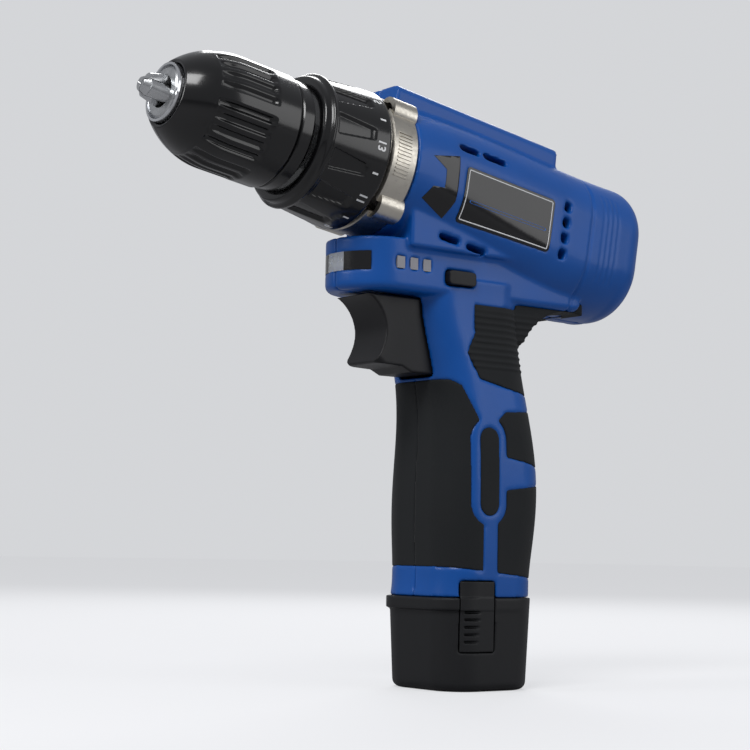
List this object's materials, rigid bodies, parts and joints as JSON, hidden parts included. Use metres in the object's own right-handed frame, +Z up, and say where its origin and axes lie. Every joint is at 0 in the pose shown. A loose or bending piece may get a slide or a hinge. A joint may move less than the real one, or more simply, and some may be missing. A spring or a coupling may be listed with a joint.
{
  "type": "cordless drill driver",
  "caption": "Pistol-grip cordless drill with a keyless chuck, a torque ring, a two-speed planetary gearbox and a clip-in battery in the handle.",
  "frame": {"origin": "centre of the battery's foot, on the surface that the drill stands on", "axes": "+X towards the chuck, +Y to the tool's left, +Z up"},
  "size_m": [0.2144, 0.051, 0.2147],
  "materials": {
    "housing_blue": "satin moulding, fine texture",
    "grip_rubber": "matte overmoulded rubber",
    "black_plastic": "fine textured moulding",
    "gloss_black": "polished moulding",
    "label_black": "smooth plate with a fine border",
    "collar_metal": "satin champagne",
    "steel": "turned and ground",
    "bright_steel": "polished",
    "spring_steel": "drawn wire",
    "gear_steel": "sintered",
    "magnet": "sintered ferrite",
    "copper": "bright copper",
    "clear_lens": "frosted clear",
    "light_pipe": "translucent red",
    "board_green": "solder mask",
    "cell_wrap": "shrink wrap"
  },
  "bodies": {
    "housing": {"housing_left": "housing_blue", "housing_right": "housing_blue", "handle_grip_left": "grip_rubber", "handle_grip_right": "grip_rubber", "label_plate_left": "label_black", "label_plate_right": "label_black", "front_plate": "label_black", "work_light_lens": "clear_lens", "housing_screws": "steel", "charge_lights": "light_pipe", "trigger_switch": "black_plastic", "terminal_block": "black_plastic", "gearbox_collar": "collar_metal", "collar_screws": "steel", "gear_case": "gear_steel", "fixed_ring_gear": "gear_steel", "clutch_balls": "steel", "clutch_spring": "spring_steel", "spindle_bearing": "steel", "motor_can": "steel", "motor_magnets": "magnet", "motor_brushes": "magnet", "brush_cap": "black_plastic", "trigger_spring": "spring_steel"},
    "chuck": {"chuck_body": "steel", "chuck_rear_collar": "gloss_black", "nose_ring": "bright_steel", "chuck_screw": "steel", "output_spindle": "steel"},
    "sleeve": {"chuck_sleeve": "gloss_black", "jaw_nut": "steel"},
    "jaw_1": {"jaw_1": "steel"},
    "jaw_2": {"jaw_2": "steel"},
    "jaw_3": {"jaw_3": "steel"},
    "torque_ring": {"torque_ring": "gloss_black", "clutch_nut": "black_plastic"},
    "output_planet_1": {"output_planet_1": "gear_steel"},
    "output_planet_2": {"output_planet_2": "gear_steel"},
    "output_planet_3": {"output_planet_3": "gear_steel"},
    "input_carrier": {"input_carrier": "gear_steel"},
    "input_planet_1": {"input_planet_1": "gear_steel"},
    "input_planet_2": {"input_planet_2": "gear_steel"},
    "input_planet_3": {"input_planet_3": "gear_steel"},
    "rotor": {"motor_armature": "gear_steel", "motor_shaft": "steel", "commutator": "copper"},
    "speed_selector": {"speed_knob": "black_plastic", "speed_fork": "black_plastic", "shift_ring_gear": "gear_steel"},
    "trigger": {"trigger": "black_plastic"},
    "direction_selector": {"direction_selector": "black_plastic"},
    "battery": {"battery_cup": "black_plastic", "battery_tower": "black_plastic", "battery_cells": "cell_wrap", "battery_board": "board_green", "battery_contacts": "copper", "latch_spring_left": "spring_steel", "latch_spring_right": "spring_steel"},
    "latch_left": {"latch_left": "black_plastic"},
    "latch_right": {"latch_right": "black_plastic"}
  },
  "joints": [
    {"name": "chuck_spin", "type": "hinge", "parent": "housing", "child": "chuck", "pos_m": [0.054, 0, 0.186], "axis": [0.9877, 0, 0.1564], "continuous": true},
    {"name": "sleeve_turn", "type": "hinge", "parent": "chuck", "child": "sleeve", "pos_m": [0.054, 0, 0.186], "axis": [0.9877, 0, 0.1564], "range_deg": [0, 1080]},
    {"name": "jaw_1_slide", "type": "slide", "parent": "chuck", "child": "jaw_1", "axis": [-0.9945, 0, 0.1045], "range_m": [0, 0.018]},
    {"name": "jaw_2_slide", "type": "slide", "parent": "chuck", "child": "jaw_2", "axis": [-0.9338, -0.2241, -0.2789], "range_m": [0, 0.018]},
    {"name": "jaw_3_slide", "type": "slide", "parent": "chuck", "child": "jaw_3", "axis": [-0.9338, 0.2241, -0.2789], "range_m": [0, 0.018]},
    {"name": "torque_set", "type": "hinge", "parent": "housing", "child": "torque_ring", "pos_m": [0.054, 0, 0.186], "axis": [0.9877, 0, 0.1564], "range_deg": [0, 270]},
    {"name": "output_planet_1_spin", "type": "hinge", "parent": "chuck", "child": "output_planet_1", "pos_m": [0.03256, 0, 0.19354], "axis": [0.9877, 0, 0.1564], "continuous": true},
    {"name": "output_planet_2_spin", "type": "hinge", "parent": "chuck", "child": "output_planet_2", "pos_m": [0.03509, -0.00935, 0.17754], "axis": [0.9877, 0, 0.1564], "continuous": true},
    {"name": "output_planet_3_spin", "type": "hinge", "parent": "chuck", "child": "output_planet_3", "pos_m": [0.03509, 0.00935, 0.17754], "axis": [0.9877, 0, 0.1564], "continuous": true},
    {"name": "input_carrier_spin", "type": "hinge", "parent": "housing", "child": "input_carrier", "pos_m": [0.054, 0, 0.186], "axis": [0.9877, 0, 0.1564], "continuous": true},
    {"name": "input_planet_1_spin", "type": "hinge", "parent": "input_carrier", "child": "input_planet_1", "pos_m": [0.03256, 0, 0.19354], "axis": [0.9877, 0, 0.1564], "continuous": true},
    {"name": "input_planet_2_spin", "type": "hinge", "parent": "input_carrier", "child": "input_planet_2", "pos_m": [0.03509, -0.00935, 0.17754], "axis": [0.9877, 0, 0.1564], "continuous": true},
    {"name": "input_planet_3_spin", "type": "hinge", "parent": "input_carrier", "child": "input_planet_3", "pos_m": [0.03509, 0.00935, 0.17754], "axis": [0.9877, 0, 0.1564], "continuous": true},
    {"name": "motor_spin", "type": "hinge", "parent": "housing", "child": "rotor", "pos_m": [0.054, 0, 0.186], "axis": [0.9877, 0, 0.1564], "continuous": true},
    {"name": "speed_shift", "type": "slide", "parent": "housing", "child": "speed_selector", "axis": [-0.9877, 0, -0.1564], "range_m": [0, 0.005]},
    {"name": "trigger_pull", "type": "slide", "parent": "housing", "child": "trigger", "axis": [-1, 0, 0], "range_m": [0, 0.006], "stiffness_N_per_m": 600, "deforming": ["trigger_spring"]},
    {"name": "direction_slide", "type": "slide", "parent": "housing", "child": "direction_selector", "axis": [0, 1, 0], "range_m": [-0.0025, 0.0025]},
    {"name": "battery_slide", "type": "slide", "parent": "housing", "child": "battery", "axis": [0, 0, -1], "range_m": [0, 0.08]},
    {"name": "latch_left_press", "type": "slide", "parent": "battery", "child": "latch_left", "axis": [-0.5, -0.866, 0], "range_m": [0, 0.0018], "stiffness_N_per_m": 500, "deforming": ["latch_spring_left"]},
    {"name": "latch_right_press", "type": "slide", "parent": "battery", "child": "latch_right", "axis": [-0.5, 0.866, 0], "range_m": [0, 0.0018], "stiffness_N_per_m": 500, "deforming": ["latch_spring_right"]}
  ],
  "couplings": [
    {"joint": "jaw_1_slide", "follows": "sleeve_turn", "m_per_rad": 0.00095},
    {"joint": "jaw_2_slide", "follows": "sleeve_turn", "m_per_rad": 0.00095},
    {"joint": "jaw_3_slide", "follows": "sleeve_turn", "m_per_rad": 0.00095},
    {"joint": "output_planet_1_spin", "follows": "chuck_spin", "ratio": -3},
    {"joint": "output_planet_2_spin", "follows": "chuck_spin", "ratio": -3},
    {"joint": "output_planet_3_spin", "follows": "chuck_spin", "ratio": -3},
    {"joint": "input_carrier_spin", "follows": "chuck_spin", "ratio": 4},
    {"joint": "input_planet_1_spin", "follows": "chuck_spin", "ratio": -12},
    {"joint": "input_planet_2_spin", "follows": "chuck_spin", "ratio": -12},
    {"joint": "input_planet_3_spin", "follows": "chuck_spin", "ratio": -12},
    {"joint": "motor_spin", "follows": "chuck_spin", "ratio": 16}
  ]
}
